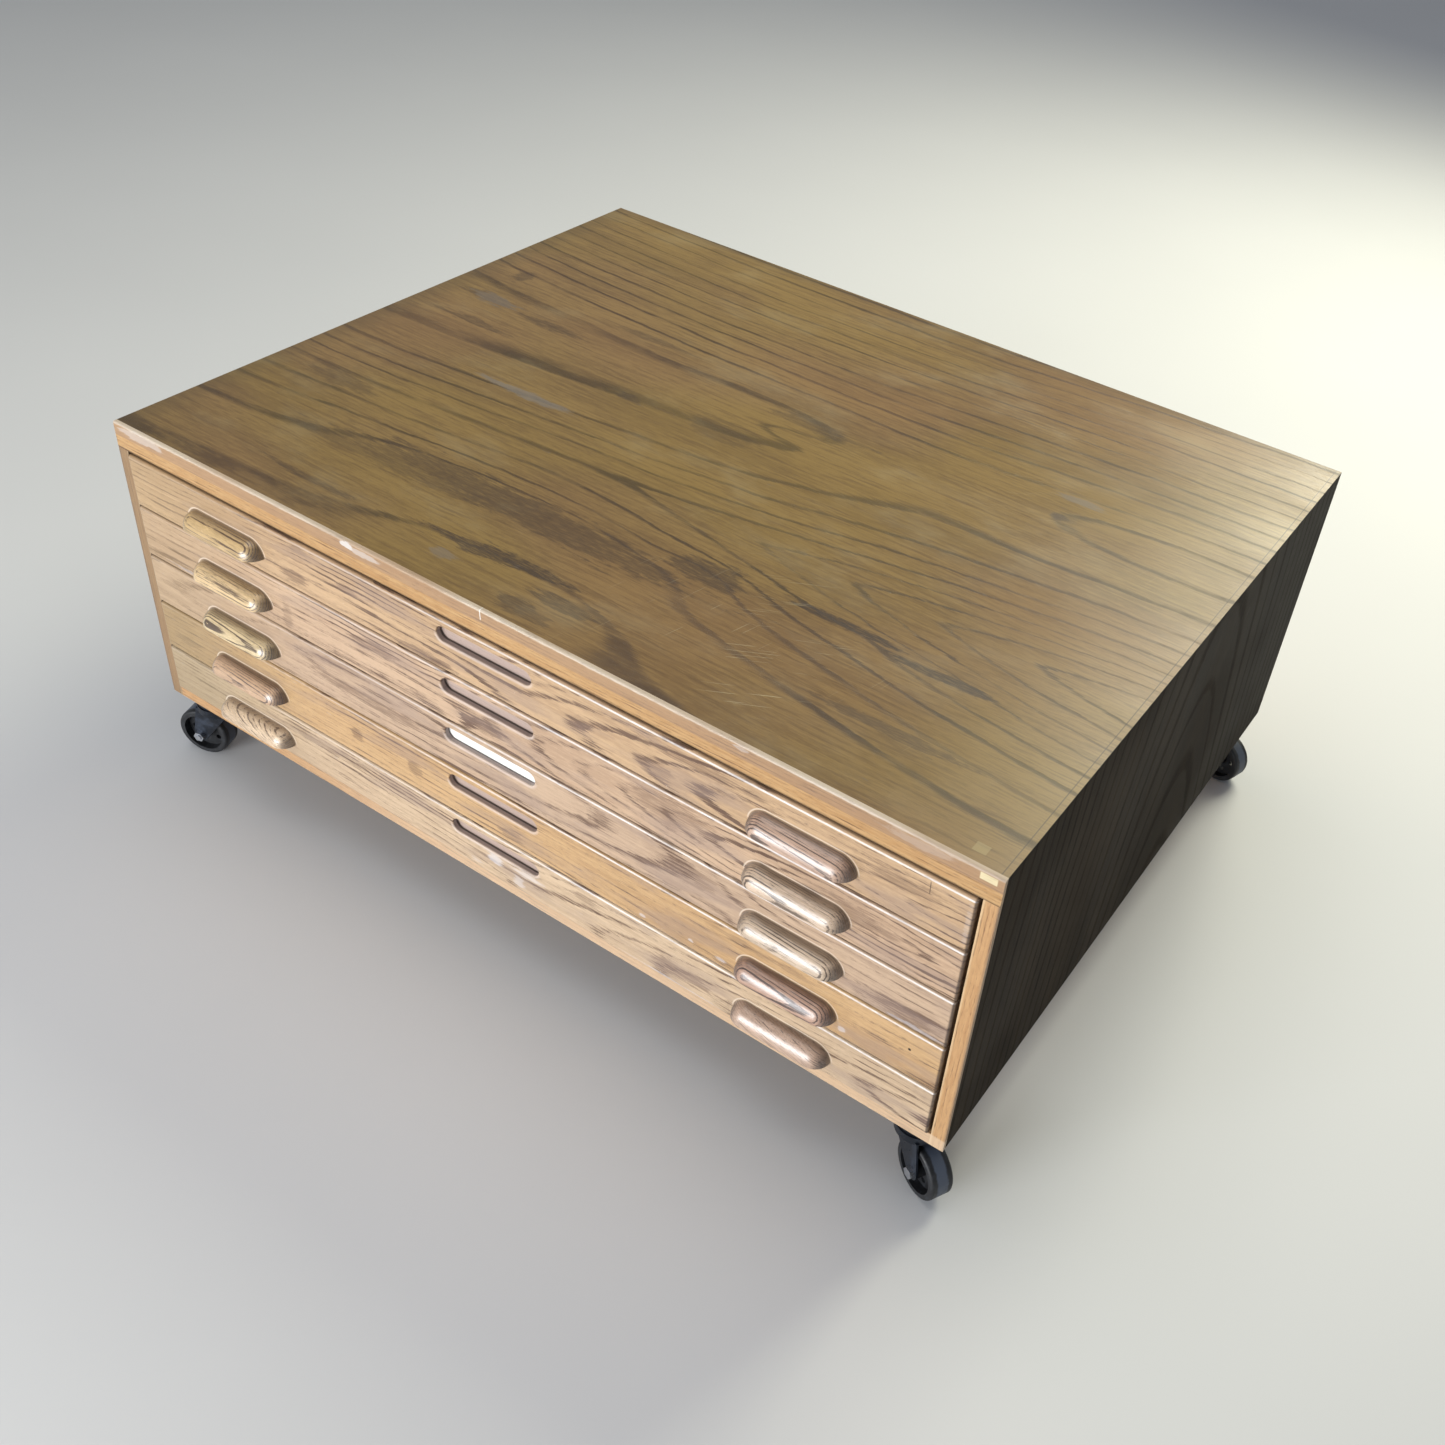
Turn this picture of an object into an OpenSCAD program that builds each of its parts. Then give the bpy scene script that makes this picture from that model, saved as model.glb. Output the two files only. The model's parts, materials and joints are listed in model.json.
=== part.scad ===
// Flat file cabinet: five wide, shallow drawers in a low wooden case on four swivel casters.
// Millimetres. +Z is up, the drawer fronts face -Y and the origin is on the floor,
// under the middle of the whole object's box.

/* [Case] */
// Width of the case
case_w = 1346; // [1100:1:1700]
// Depth of the case, from its front edges to its back
case_d = 1045; // [850:1:1300]
// Height of the case, without the casters
case_h = 457; // [380:1:600]
// Thickness of the top, side and bottom panels
panel_t = 19; // [16:0.5:23]
// Thickness of the solid bands on the front edges
band_t = 6; // [4:0.5:9]
// Rounding of the long upper edge at the front
band_round = 2.5; // [1:0.5:4]
// Height of the rail under the top
rail_h = 19; // [16:0.5:25]
// Depth of the rail behind its front lap
rail_d = 60; // [30:1:90]
// Thickness of the back panel
back_t = 6; // [4:0.5:9]
// Width of the step in the panels that takes the back panel
back_lap = 9; // [6:0.5:12]
// Depth of the step in each side panel that takes the bottom panel
bottom_lap = 8; // [4:0.5:10]

/* [Drawer fronts] */
// Gap above and below each drawer front
front_gap = 2; // [1:0.5:3]
// Gap at each end of a drawer front
front_end_gap = 3.5; // [2:0.5:5]
// Thickness of a drawer front
front_t = 10; // [8:0.5:13]
// How far a drawer front stands out of the case
front_proud = 5; // [3:0.5:7]
// Rounding of a drawer front's outer edges
front_round = 4; // [2:0.5:5]
// How far left of the case's middle the two pulls are centred
middle_off = 14; // [0:1:30]
// How far left of the case's middle a label window is centred
window_off = 20; // [0:1:40]
// Length of a label window
window_l = 150; // [110:1:200]
// Height of a label window
window_h = 22; // [16:0.5:27]
// Distance from a front's upper edge down to the middle of its window
window_drop = 22; // [18:0.5:27]
// Rounding of the window's outer edge
window_round = 1.5; // [0.5:0.5:2.5]
// Depth of the card pocket in the back of a front
pocket_t = 1.5; // [1:0.1:2.5]
// How far the card pocket reaches past the window at each end
pocket_side = 8; // [4:0.5:15]
// How far the card pocket reaches below the window
pocket_below = 4; // [2:0.5:5]
// Thickness of the label card
card_t = 0.5; // [0.3:0.1:0.9]
// Play of the label card at each end of its pocket
card_play = 2; // [0.5:0.5:3]
// Height of the label card
card_h = 30; // [25:0.5:33]

/* [Pulls] */
// Length of a pull
pull_l = 142; // [110:1:180]
// Radius of a pull's quarter-round section
pull_r = 23; // [18:0.5:28]
// Distance from the middle of a front's two pulls to the middle of each
pull_out = 455; // [300:1:520]
// Distance from a front's lower edge up to the flat underside of its pulls
pull_lift = 24; // [16:0.5:30]
// Thickness of a pull's wall round the hollow for the fingers
pull_wall = 4; // [3:0.5:6]
// Radius of the hollow for the fingers
finger_r = 12; // [8:0.5:15]

/* [Drawer boxes] */
// Thickness of the board behind a drawer front
box_front_t = 12; // [10:0.5:15]
// Thickness of a drawer's sides
box_side_t = 16; // [13.5:0.5:20]
// Thickness of a drawer's back
box_back_t = 12; // [10:0.5:15]
// Distance from a front's upper edge down to the top of its box
box_drop = 6; // [5:0.5:10]
// Distance from a front's lower edge up to the bottom of its box
box_lift = 6; // [4:0.5:8]
// Distance from a drawer's back to the rear end of its sides
box_back_inset = 15; // [8:0.5:25]
// Thickness of a drawer's bottom
tray_t = 5; // [3:0.5:6]
// Distance from the bottom of the box up to the underside of its bottom panel
tray_lift = 8; // [6:0.5:10]
// Depth of the grooves that hold the bottom panel and the back
groove_d = 6; // [4:0.5:7]
// Play of a panel in its groove
groove_play = 0.3; // [0.1:0.1:0.6]
// Space between a drawer's side and the case
side_gap = 4; // [3:0.5:5]
// Space between the rear end of a drawer and the back panel
rear_gap = 12; // [6:1:30]

/* [Runners] */
// Width of a drawer runner, out from the case's side
runner_w = 10; // [8:0.5:12]
// Height of a drawer runner
runner_h = 16; // [12:0.5:20]
// Distance from the bottom of a drawer box up to its runner
runner_lift = 24; // [20:0.5:28]
// Distance from the case's front edge back to a runner
runner_start = 34; // [30:0.5:45]
// Play between a drawer and the top and inner face of its runner
runner_play = 0.3; // [0.2:0.1:0.6]
// Play between a drawer and the underside of its runner
runner_below = 1; // [0.5:0.1:2]
// Play between a shut drawer's stopped groove and the runner's end
stop_play = 0.5; // [0.3:0.1:1]
// Radius of a runner screw's shank
screw_r = 2; // [1.5:0.1:2.5]
// Radius of a runner screw's head
screw_head_r = 4; // [3:0.1:5]
// Length of a runner screw
screw_l = 24; // [18:1:26]
// Distance from a runner's end to its nearest screw
screw_inset = 60; // [30:1:120]

/* [Casters] */
// Diameter of a wheel
wheel_d = 80; // [68:0.5:95]
// Width of a wheel's tread
tread_w = 32; // [26:0.5:38]
// Depth of a wheel's rim, tread to web
rim_t = 9; // [7:0.5:11]
// Rounding of a tread's shoulders
tread_round = 4; // [2:0.5:5]
// Thickness of a wheel's web
web_t = 8; // [6:0.5:10]
// Radius of a wheel's hub
hub_r = 11; // [9:0.5:13]
// How far a hub stands past the tread on each side
hub_out = 1.5; // [1:0.5:3]
// Radius of the holes in a wheel's web
web_hole_r = 4; // [3:0.5:4.5]
// Radius of an axle bolt
axle_r = 4.75; // [4:0.05:6]
// Radius of a king pin
king_r = 6; // [5:0.5:7.5]
// Radial clearance of a turning fit
turn_fit = 0.05; // [0.02:0.01:0.08]
// Clearance between faces that turn on each other
face_play = 0.3; // [0.2:0.1:0.5]
// Space between a wheel and the bridge of its fork
wheel_clear = 10; // [6:0.5:14]
// Distance from a caster's swivel axis back to its axle
trail = 27; // [22:0.5:34]
// Thickness of a fork's legs
leg_t = 3; // [2.5:0.5:4]
// Radius of a leg's round end
leg_end_r = 11; // [9:0.5:13]
// Half width of a leg where it meets the bridge
leg_top = 27; // [20:0.5:30]
// Thickness of a fork's bridge
bridge_t = 4; // [3:0.5:5]
// Radius of a fork's round crown
crown_r = 31; // [26:0.5:34]
// Height of a fork's round crown
crown_t = 8; // [5:0.5:11]
// Height of the raceway dish under a plate
dish_t = 12.7; // [8:0.1:16]
// Radius of the raceway dish at the plate
dish_r = 33; // [28:0.5:36]
// How much narrower the dish is at its lower edge
dish_step = 4; // [1:0.5:6]
// Thickness of a caster's plate
plate_t = 3; // [2.5:0.5:4]
// Length of a caster's plate, side to side
plate_l = 92; // [85:1:110]
// Width of a caster's plate, front to back
plate_w = 67; // [60:1:80]
// Corner radius of a caster's plate
plate_round = 6; // [3:0.5:10]
// Distance from a screw's middle to the plate's edges
bolt_inset = 10; // [8.5:0.5:12]
// Radius of a caster screw's shank
bolt_r = 3; // [2.5:0.1:3.5]
// Radius over the corners of a caster screw's head
bolt_head_r = 6.4; // [5.5:0.1:7]
// Height of a caster screw's head
bolt_head_t = 4.5; // [3:0.5:6]
// How far a caster screw reaches into the case
bolt_reach = 15; // [12:1:18]
// Distance from the case's sides to a caster's swivel axis
caster_side = 50; // [46:1:120]
// Distance from the case's front and back to a caster's swivel axis
caster_end = 36; // [34:1:120]

/* [Hidden] */
$fn = 64;
drawer_count = 5;
over = 1;
big = 4000;

// Levels and planes of the case
case_z = wheel_d + wheel_clear + bridge_t + crown_t + face_play + dish_t + plate_t;
top_z = case_z + case_h;
nose = front_proud + pull_r;
face_y = -(case_d - nose) / 2;
rear_y = face_y + case_d;
panel_y = face_y + band_t;
back_y = rear_y - back_t;
inner_w = case_w - 2 * panel_t;
open_z = case_z + panel_t;
open_h = case_h - 2 * panel_t - rail_h;

// Drawer fronts, from the lower edge of the lowest
front_w = inner_w - 2 * front_end_gap;
front_h = (open_h - (drawer_count + 1) * front_gap) / drawer_count;
front_y = face_y - front_proud;
front_back_y = front_y + front_t;
window_z = front_h - window_drop;
pocket_z = window_z - window_h / 2 - pocket_below;

// Drawer boxes
box_w = inner_w - 2 * side_gap;
box_h = front_h - box_drop - box_lift;
box_front_back_y = front_back_y + box_front_t;
box_rear_y = back_y - rear_gap;
box_back_y = box_rear_y - box_back_inset;
tray_z = box_lift + tray_lift;
runner_z = box_lift + runner_lift;
runner_y = face_y + runner_start;
runner_l = back_y - runner_y;
runner_groove_d = runner_w - side_gap + runner_play;

// Casters, each in its own frame: swivel axis on Z, trailing along +X
wheel_r = wheel_d / 2;
bridge_z = wheel_d + wheel_clear;
crown_z = bridge_z + bridge_t;
dish_z = crown_z + crown_t + face_play;
plate_z = dish_z + dish_t;
leg_in = tread_w / 2 + hub_out + face_play;
leg_out = leg_in + leg_t;
king_head_r = 9;
king_head_t = 1.5;
king_nut_r = 10;
king_nut_t = 4;
axle_head_r = 8.3;
axle_head_t = 5.5;
axle_nut_t = 7;
axle_end = 2;
web_holes = 5;
caster_x = case_w / 2 - caster_side;
caster_front_y = face_y + caster_end;
caster_rear_y = rear_y - caster_end;

// Name, middle and trailing direction of each caster at rest
CASTERS = [
    ["front_left", -caster_x, caster_front_y, 197],
    ["front_right", caster_x, caster_front_y, -27],
    ["rear_left", -caster_x, caster_rear_y, 197],
    ["rear_right", caster_x, caster_rear_y, -17],
];
CASE_NODES = [
    "top_panel", "left_side_panel", "right_side_panel", "bottom_panel", "back_panel",
    "top_front_rail", "front_edge_bands", "drawer_runners", "runner_screws",
    "caster_plates", "caster_kingpins", "caster_bolts",
];
DRAWER_PARTS = ["front", "box_front", "left_side", "right_side", "back", "bottom", "pulls"];
CASTER_PARTS = ["fork", "axle", "wheel"];

// Height of the lower edge of drawer front i, counted from the top
function front_z(i) = open_z + front_gap + (drawer_count - i) * (front_h + front_gap);

// Point where a line from p touches the circle round c, on the given side
function tangent_point(p, c, r, side) =
    let (d = p - c, a = atan2(d[1], d[0]) + side * acos(r / norm(d)))
    c + r * [cos(a), sin(a)];

// A box from its low corner to its high corner
module block(low, high) {
    translate(low) cube(high - low);
}

// A profile drawn in X and Z, drawn out along Y from y0 to y1
module along_y(y0, y1) {
    translate([0, y1, 0]) rotate([90, 0, 0]) linear_extrude(y1 - y0) children();
}

// A profile drawn in Y and Z, drawn out along X from x0 to x1
module along_x(x0, x1) {
    translate([x0, 0, 0]) rotate([90, 0, 90]) linear_extrude(x1 - x0) children();
}

module mirrored_x() {
    children();
    mirror([1, 0, 0]) children();
}

module rounded_rect(w, h, r) {
    square([w - 2 * r, h], center = true);
    square([w, h - 2 * r], center = true);
    for (x = [-1, 1], y = [-1, 1]) translate([x * (w / 2 - r), y * (h / 2 - r)]) circle(r);
}

// ---- Case ----

// The top and the sides meet in mitres, so neither shows an edge of the other
module top_panel() {
    color("darkkhaki") difference() {
        along_y(panel_y, rear_y) polygon([
            [-case_w / 2, top_z], [case_w / 2, top_z],
            [inner_w / 2, top_z - panel_t], [-inner_w / 2, top_z - panel_t],
        ]);
        back_panel_step();
    }
}

module side_panel() {
    difference() {
        along_y(panel_y, rear_y) polygon([
            [inner_w / 2, case_z], [case_w / 2, case_z],
            [case_w / 2, top_z], [inner_w / 2, top_z - panel_t],
        ]);
        block([0, panel_y - over, case_z - over],
              [inner_w / 2 + bottom_lap, rear_y + over, case_z + panel_t]);
        back_panel_step();
        block([0, panel_y - over, top_z - panel_t - rail_h],
              [case_w, panel_y, top_z]);
        for (i = [1 : drawer_count]) runner_screw_places(i)
            cylinder(r = screw_r + turn_fit, h = screw_l + over);
    }
}

module left_side_panel() {
    color("#3d322b") mirror([1, 0, 0]) side_panel();
}

module right_side_panel() {
    color("#3d322b") side_panel();
}

module bottom_panel() {
    color("tan") difference() {
        block([-inner_w / 2 - bottom_lap, panel_y, case_z],
              [inner_w / 2 + bottom_lap, back_y, open_z]);
        for (c = CASTERS) translate([c[1], c[2], case_z - over]) plate_bolt_places()
            cylinder(r = bolt_r + turn_fit, h = bolt_reach + over + turn_fit);
    }
}

module back_panel() {
    color("burlywood") block(
        [-inner_w / 2 - back_lap, back_y, case_z],
        [inner_w / 2 + back_lap, rear_y, top_z - panel_t + back_lap]);
}

// The step round the case's rear edge, in which the back panel lies
module back_panel_step() {
    block([-inner_w / 2 - back_lap, back_y, case_z - over],
          [inner_w / 2 + back_lap, rear_y + over, top_z - panel_t + back_lap]);
}

// The rail laps over the front edges of the sides and fits between them behind
module top_front_rail() {
    color("peru") {
        block([-case_w / 2, face_y, top_z - panel_t - rail_h],
              [case_w / 2, panel_y, top_z - panel_t]);
        block([-inner_w / 2, panel_y, top_z - panel_t - rail_h],
              [inner_w / 2, panel_y + rail_d, top_z - panel_t]);
    }
}

module front_edge_bands() {
    color("sandybrown") {
        along_x(-case_w / 2, case_w / 2) {
            translate([face_y, top_z - panel_t]) square([band_t, panel_t - band_round]);
            translate([face_y + band_round, top_z - panel_t])
                square([band_t - band_round, panel_t]);
            translate([face_y + band_round, top_z - band_round]) circle(band_round);
        }
        mirrored_x() block([inner_w / 2, face_y, case_z],
                           [case_w / 2, panel_y, top_z - panel_t - rail_h]);
        block([-inner_w / 2, face_y, case_z], [inner_w / 2, panel_y, open_z]);
    }
}

// ---- Drawer runners ----

// Puts a screw, drawn up from its head's flat face, at each place in the right runner
module runner_screw_places(i) {
    for (y = [runner_y + screw_inset, runner_y + runner_l / 2, back_y - screw_inset])
        translate([inner_w / 2 - runner_w, y, front_z(i) + runner_z + runner_h / 2])
            rotate([0, 90, 0]) children();
}

module countersunk(r, head_r, l) {
    cylinder(r1 = head_r, r2 = r, h = head_r - r);
    cylinder(r = r, h = l);
}

module drawer_runners() {
    color("burlywood") for (i = [1 : drawer_count]) mirrored_x() difference() {
        block([inner_w / 2 - runner_w, runner_y, front_z(i) + runner_z],
              [inner_w / 2, back_y, front_z(i) + runner_z + runner_h]);
        runner_screw_places(i) translate([0, 0, -turn_fit])
            countersunk(screw_r + turn_fit, screw_head_r + turn_fit, screw_l);
    }
}

module runner_screws() {
    color("silver") for (i = [1 : drawer_count]) mirrored_x() runner_screw_places(i)
        countersunk(screw_r, screw_head_r, screw_l);
}

// ---- Drawers, each in the frame of its front's lower edge ----

module drawer_at(i) {
    translate([0, 0, front_z(i)]) children();
}

// A slot along X with round ends, cut from y = 0 towards +Y, with a rounded mouth
module mouth_profile(r, depth) {
    square([r, depth]);
    difference() {
        square([r + window_round, window_round]);
        translate([r + window_round, window_round]) circle(window_round);
    }
}

module window_cut(depth) {
    r = window_h / 2;
    half = window_l / 2 - r;
    for (x = [-half, half]) translate([x, 0, 0]) rotate([-90, 0, 0])
        rotate_extrude() mouth_profile(r, depth);
    translate([-half, 0, 0]) rotate([0, 90, 0]) linear_extrude(2 * half)
        for (side = [0, 1]) mirror([side, 0]) mouth_profile(r, depth);
}

// Outline of a board's section, with its two corners at y = 0 rounded
module rounded_edges(length, thickness, r) {
    translate([r, 0]) square([thickness - r, length]);
    translate([0, r]) square([thickness, length - 2 * r]);
    for (z = [r, length - r]) translate([r, z]) circle(r);
}

module front_board() {
    intersection() {
        along_x(-front_w / 2, front_w / 2) translate([front_y, 0])
            rounded_edges(front_h, front_t, front_round);
        translate([front_w / 2, front_y, 0]) linear_extrude(front_h) rotate(90)
            rounded_edges(front_w, front_t, front_round);
    }
}

module drawer_front(i) {
    half = window_l / 2 + pocket_side;
    color("#b08a58") drawer_at(i) difference() {
        front_board();
        translate([-window_off, front_y, window_z]) window_cut(front_t + over);
        block([-window_off - half, front_back_y - pocket_t, pocket_z],
              [-window_off + half, front_back_y + over, front_h + over]);
    }
}

module label_card() {
    half = window_l / 2 + pocket_side - card_play;
    color("white") drawer_at(3) block(
        [-window_off - half, front_back_y - pocket_t, pocket_z],
        [-window_off + half, front_back_y - pocket_t + card_t, pocket_z + card_h]);
}

// A round bar along X with domed ends
module round_bar(half, r) {
    rotate([0, 90, 0]) cylinder(r = r, h = 2 * half, center = true);
    for (x = [-half, half]) translate([x, 0, 0]) sphere(r);
}

// A quarter of such a bar, flat underneath and hollowed there for the fingers
module pull() {
    half = pull_l / 2 - pull_r;
    difference() {
        intersection() {
            round_bar(half, pull_r);
            block([-pull_l, -pull_l, 0], [pull_l, 0, pull_l]);
        }
        translate([0, pull_wall + finger_r - pull_r, 0]) round_bar(half, finger_r);
    }
}

module drawer_pulls(i) {
    color("#6e5334") drawer_at(i) for (side = [-1, 1])
        translate([side * pull_out - middle_off, front_y, pull_lift]) pull();
}

// The board behind the front closes the label window and takes the ends of the sides
module drawer_box_front(i) {
    color("tan") drawer_at(i) difference() {
        block([-box_w / 2, front_back_y, box_lift],
              [box_w / 2, box_front_back_y, box_lift + box_h]);
        mirrored_x() block([box_w / 2 - box_side_t, box_front_back_y - groove_d, 0],
                           [box_w, big, front_h]);
        tray_groove();
    }
}

// The groove round the inside of the box, in which the bottom panel lies
module tray_groove() {
    block([-box_w / 2 + box_side_t - groove_d, box_front_back_y - groove_d, tray_z],
          [box_w / 2 - box_side_t + groove_d, big, tray_z + tray_t + groove_play]);
}

module drawer_side() {
    difference() {
        block([box_w / 2 - box_side_t, box_front_back_y - groove_d, box_lift],
              [box_w / 2, box_rear_y, box_lift + box_h]);
        tray_groove();
        block([0, box_back_y - box_back_t - groove_play, tray_z],
              [box_w / 2 - box_side_t + groove_d, box_back_y, front_h]);
        block([box_w / 2 - runner_groove_d, runner_y - stop_play, runner_z - runner_below],
              [box_w, big, runner_z + runner_h + runner_play]);
    }
}

module drawer_left_side(i) {
    color("burlywood") drawer_at(i) mirror([1, 0, 0]) drawer_side();
}

module drawer_right_side(i) {
    color("burlywood") drawer_at(i) drawer_side();
}

module drawer_back(i) {
    half = box_w / 2 - box_side_t + groove_d - groove_play;
    color("burlywood") drawer_at(i) block(
        [-half, box_back_y - box_back_t, tray_z + tray_t],
        [half, box_back_y, box_lift + box_h]);
}

module drawer_bottom(i) {
    half = box_w / 2 - box_side_t + groove_d - groove_play;
    color("sienna") drawer_at(i) block(
        [-half, box_front_back_y - groove_d + groove_play, tray_z],
        [half, box_rear_y, tray_z + tray_t]);
}

// ---- Casters ----

module caster_at(c) {
    translate([c[1], c[2], 0]) rotate([0, 0, c[3]]) children();
}

module plate_bolt_places() {
    for (x = [-1, 1], y = [-1, 1])
        translate([x * (plate_l / 2 - bolt_inset), y * (plate_w / 2 - bolt_inset), 0])
            children();
}

module caster_plate() {
    difference() {
        union() {
            translate([0, 0, plate_z]) linear_extrude(plate_t)
                rounded_rect(plate_l, plate_w, plate_round);
            translate([0, 0, dish_z])
                cylinder(r1 = dish_r - dish_step, r2 = dish_r, h = dish_t);
        }
        translate([0, 0, dish_z - over])
            cylinder(r = king_r + turn_fit, h = dish_t + plate_t + 2 * over);
        translate([0, 0, case_z - king_head_t])
            cylinder(r = king_head_r + turn_fit, h = king_head_t + over);
        translate([0, 0, plate_z - over]) plate_bolt_places()
            cylinder(r = bolt_r + turn_fit, h = plate_t + 2 * over);
    }
}

module caster_plates() {
    color("#26262a") for (c = CASTERS) translate([c[1], c[2], 0]) caster_plate();
}

module caster_kingpins() {
    nut_z = bridge_z - face_play - king_nut_t;
    color("gray") for (c = CASTERS) translate([c[1], c[2], 0]) {
        translate([0, 0, nut_z]) cylinder(r = king_r, h = case_z - nut_z);
        translate([0, 0, nut_z]) cylinder(r = king_nut_r, h = king_nut_t, $fn = 6);
        translate([0, 0, case_z - king_head_t]) cylinder(r = king_head_r, h = king_head_t);
    }
}

module caster_bolts() {
    color("silver") for (c = CASTERS) translate([c[1], c[2], plate_z]) plate_bolt_places() {
        translate([0, 0, -bolt_head_t])
            cylinder(r = bolt_head_r, h = bolt_head_t, $fn = 6);
        cylinder(r = bolt_r, h = plate_t + bolt_reach);
    }
}

// A leg's outline: straight edges from the bridge to a round end about the axle
module leg_profile() {
    end = [trail, wheel_r];
    back = [-leg_top, crown_z];
    front = [leg_top, crown_z];
    translate(end) circle(leg_end_r);
    polygon([back, front, tangent_point(front, end, leg_end_r, -1), end,
             tangent_point(back, end, leg_end_r, 1)]);
}

module caster_fork(c) {
    color("#26262a") caster_at(c) difference() {
        union() {
            for (side = [-1, 1]) translate([0, side * (leg_in + leg_out) / 2, 0])
                along_y(-leg_t / 2, leg_t / 2) leg_profile();
            block([-leg_top, -leg_out, bridge_z], [leg_top, leg_out, crown_z]);
            translate([0, 0, bridge_z]) cylinder(r = crown_r, h = bridge_t + crown_t);
        }
        translate([0, 0, bridge_z - over])
            cylinder(r = king_r + turn_fit, h = bridge_t + crown_t + 2 * over);
        translate([trail, 0, wheel_r]) rotate([90, 0, 0])
            cylinder(r = axle_r + turn_fit, h = 2 * leg_out + 2 * over, center = true);
    }
}

module caster_axle(c) {
    color("silver") caster_at(c) translate([trail, -leg_out, wheel_r]) rotate([-90, 0, 0]) {
        cylinder(r = axle_r, h = 2 * leg_out + axle_nut_t + axle_end);
        translate([0, 0, -axle_head_t])
            cylinder(r = axle_head_r, h = axle_head_t, $fn = 6);
        translate([0, 0, 2 * leg_out])
            cylinder(r = axle_head_r, h = axle_nut_t, $fn = 6);
    }
}

// Half of a wheel's section: rim with round shoulders, web and hub
module wheel_profile() {
    half = tread_w / 2;
    translate([wheel_r - rim_t, -half]) square([rim_t - tread_round, tread_w]);
    translate([wheel_r - rim_t, -half + tread_round])
        square([rim_t, tread_w - 2 * tread_round]);
    for (side = [-1, 1])
        translate([wheel_r - tread_round, side * (half - tread_round)]) circle(tread_round);
    translate([hub_r - over, -web_t / 2]) square([wheel_r - rim_t - hub_r + 2 * over, web_t]);
    translate([axle_r + turn_fit, -half - hub_out])
        square([hub_r - axle_r - turn_fit, tread_w + 2 * hub_out]);
}

module caster_wheel(c) {
    hole_at = (hub_r + wheel_r - rim_t) / 2;
    color("#1d1d20") caster_at(c) translate([trail, 0, wheel_r]) rotate([90, 0, 0])
        difference() {
            rotate_extrude() wheel_profile();
            for (k = [0 : web_holes - 1]) rotate(k * 360 / web_holes)
                translate([hole_at, 0, -web_t])
                    cylinder(r = web_hole_r, h = 2 * web_t);
        }
}

top_panel();
left_side_panel();
right_side_panel();
bottom_panel();
back_panel();
top_front_rail();
front_edge_bands();
drawer_runners();
runner_screws();
caster_plates();
caster_kingpins();
caster_bolts();
label_card();  // drawer_3_label_card
for (i = [1 : drawer_count]) {
    drawer_front(i);
    drawer_box_front(i);
    drawer_left_side(i);
    drawer_right_side(i);
    drawer_back(i);
    drawer_bottom(i);
    drawer_pulls(i);
}
for (c = CASTERS) {
    caster_fork(c);
    caster_axle(c);
    caster_wheel(c);
}
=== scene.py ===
"""Looks of the flat file cabinet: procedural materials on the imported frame, floor, lights and camera."""
import json
import math

import bpy
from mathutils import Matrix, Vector

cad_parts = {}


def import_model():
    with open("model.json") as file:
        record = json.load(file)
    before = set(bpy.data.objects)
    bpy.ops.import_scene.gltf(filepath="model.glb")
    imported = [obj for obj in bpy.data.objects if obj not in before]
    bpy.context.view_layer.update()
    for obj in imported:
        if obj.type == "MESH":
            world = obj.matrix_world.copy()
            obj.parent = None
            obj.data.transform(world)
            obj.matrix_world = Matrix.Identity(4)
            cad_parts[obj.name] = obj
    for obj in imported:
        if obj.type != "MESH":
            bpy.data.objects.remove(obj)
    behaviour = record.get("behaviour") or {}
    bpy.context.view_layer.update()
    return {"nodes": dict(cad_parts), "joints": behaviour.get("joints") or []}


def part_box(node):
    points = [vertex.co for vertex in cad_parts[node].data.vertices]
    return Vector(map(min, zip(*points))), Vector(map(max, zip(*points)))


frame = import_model()
nodes = frame["nodes"]

# ---- Planes of the case that the materials refer to, in metres ----
top_low, top_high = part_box("top_panel")
CASE_HALF = top_high.x
CASE_TOP = top_high.z
REAR_Y = top_high.y
PANEL = top_high.z - top_low.z
BOTTOM_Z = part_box("bottom_panel")[0].z
DRAWERS = range(1, 6)


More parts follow.
